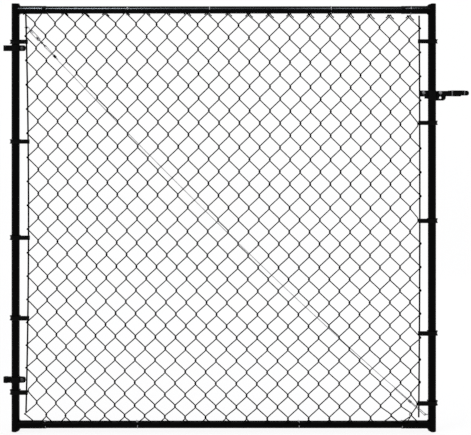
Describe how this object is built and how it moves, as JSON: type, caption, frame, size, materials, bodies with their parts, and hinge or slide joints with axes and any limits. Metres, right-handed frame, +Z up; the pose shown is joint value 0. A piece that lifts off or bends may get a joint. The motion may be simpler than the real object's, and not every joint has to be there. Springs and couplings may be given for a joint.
{
  "type": "chain link walk gate leaf",
  "caption": "Black chain link walk gate leaf with telescoping tube rails, strap hinges, a drop fork latch and a diagonal truss cable.",
  "frame": {"origin": "on the flat underside of the lower hinge eye, at its outer side, where the eye rests on the shoulder of its post pin", "axes": "+Z up along the stiles, +X along the rails from the hinge side to the latch side, -Y towards the outside face that carries the fabric"},
  "size_m": [1.9822, 0.08, 1.8276],
  "materials": {
    "tube_coating": "gloss",
    "wire_coating": "satin",
    "fitting_coating": "gloss",
    "zinc_plate": "satin"
  },
  "bodies": {
    "leaf": {"hinge_stile": "tube_coating", "latch_stile": "tube_coating", "top_rail": "tube_coating", "bottom_rail": "tube_coating", "top_sleeve_hinge_side": "tube_coating", "top_sleeve_latch_side": "tube_coating", "bottom_sleeve_hinge_side": "tube_coating", "bottom_sleeve_latch_side": "tube_coating", "hinge_stile_top_cap": "tube_coating", "hinge_stile_bottom_cap": "tube_coating", "latch_stile_top_cap": "tube_coating", "latch_stile_bottom_cap": "tube_coating", "tension_bar_hinge_side": "wire_coating", "tension_bar_latch_side": "wire_coating", "fabric_hinge_half": "wire_coating", "fabric_latch_half": "wire_coating", "tension_band_hinge_side_1": "fitting_coating", "tension_band_hinge_side_2": "fitting_coating", "tension_band_hinge_side_3": "fitting_coating", "tension_band_hinge_side_4": "fitting_coating", "tension_band_hinge_side_5": "fitting_coating", "tension_band_latch_side_1": "fitting_coating", "tension_band_latch_side_2": "fitting_coating", "tension_band_latch_side_3": "fitting_coating", "tension_band_latch_side_4": "fitting_coating", "tension_band_latch_side_5": "fitting_coating", "lower_hinge": "fitting_coating", "upper_hinge": "fitting_coating", "latch_clamp_front": "fitting_coating", "latch_clamp_back": "fitting_coating", "latch_pivot_bolt": "fitting_coating", "latch_inner_bolt": "fitting_coating", "upper_cable_lug": "fitting_coating", "turnbuckle_lower_rod": "fitting_coating", "lower_cable_lug": "zinc_plate", "truss_cable": "zinc_plate", "turnbuckle_body": "zinc_plate", "turnbuckle_upper_rod": "zinc_plate"},
    "fork": {"latch_fork": "fitting_coating"}
  },
  "joints": [
    {"name": "fork_lift", "type": "hinge", "parent": "leaf", "child": "fork", "pos_m": [1.8637, 0, 1.23787], "axis": [0, -1, 0], "range_deg": [0, 90]}
  ]
}
